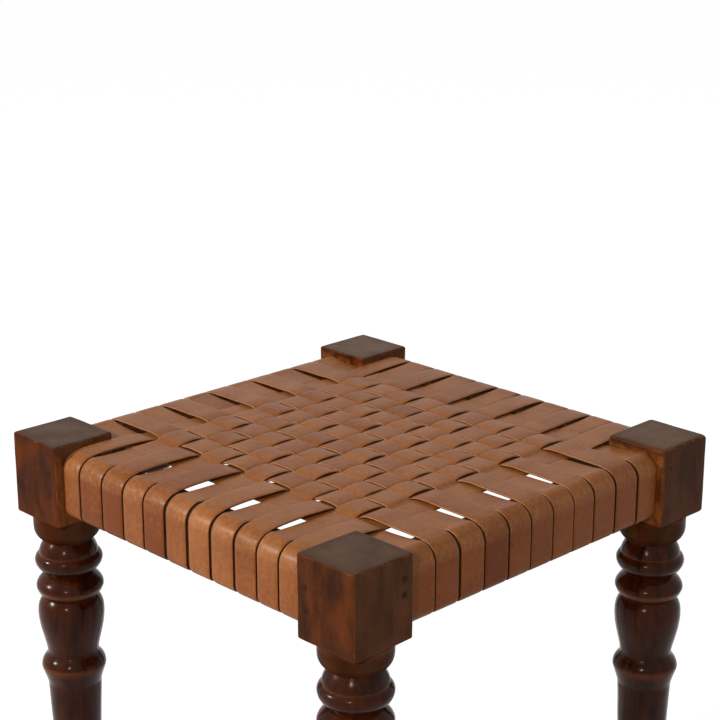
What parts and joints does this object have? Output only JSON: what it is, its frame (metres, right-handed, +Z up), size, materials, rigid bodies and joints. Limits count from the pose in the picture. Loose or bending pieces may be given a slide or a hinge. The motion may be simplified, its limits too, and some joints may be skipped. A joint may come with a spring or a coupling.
{
  "type": "footstool",
  "caption": "Square footstool with turned wooden legs, square corner blocks and a seat of woven leather straps wrapped over the rails.",
  "frame": {"origin": "on the floor, under the middle of the seat", "axes": "+Z up, the front rail faces -Y and the right rail faces +X"},
  "size_m": [0.4, 0.4, 0.45],
  "materials": {
    "lacquered_wood": "gloss lacquer on dark red-brown wood",
    "rail_wood": "planed, unlacquered",
    "tan_leather": "satin vegetable-tanned strap leather",
    "tack_iron": "blued cut tacks",
    "pin_wood": "end grain under lacquer"
  },
  "bodies": {
    "root": {"leg_front_left": "lacquered_wood", "leg_front_right": "lacquered_wood", "leg_back_right": "lacquered_wood", "leg_back_left": "lacquered_wood", "rail_front": "rail_wood", "rail_right": "rail_wood", "rail_back": "rail_wood", "rail_left": "rail_wood", "strap_front_back_01": "tan_leather", "strap_front_back_02": "tan_leather", "strap_front_back_03": "tan_leather", "strap_front_back_04": "tan_leather", "strap_front_back_05": "tan_leather", "strap_front_back_06": "tan_leather", "strap_front_back_07": "tan_leather", "strap_front_back_08": "tan_leather", "strap_front_back_09": "tan_leather", "strap_front_back_10": "tan_leather", "strap_front_back_11": "tan_leather", "strap_side_side_01": "tan_leather", "strap_side_side_02": "tan_leather", "strap_side_side_03": "tan_leather", "strap_side_side_04": "tan_leather", "strap_side_side_05": "tan_leather", "strap_side_side_06": "tan_leather", "strap_side_side_07": "tan_leather", "strap_side_side_08": "tan_leather", "strap_side_side_09": "tan_leather", "strap_side_side_10": "tan_leather", "strap_side_side_11": "tan_leather", "tacks_front": "tack_iron", "tacks_right": "tack_iron", "tacks_back": "tack_iron", "tacks_left": "tack_iron", "tenon_pins_front_left": "pin_wood", "tenon_pins_front_right": "pin_wood", "tenon_pins_back_right": "pin_wood", "tenon_pins_back_left": "pin_wood"}
  },
  "joints": []
}
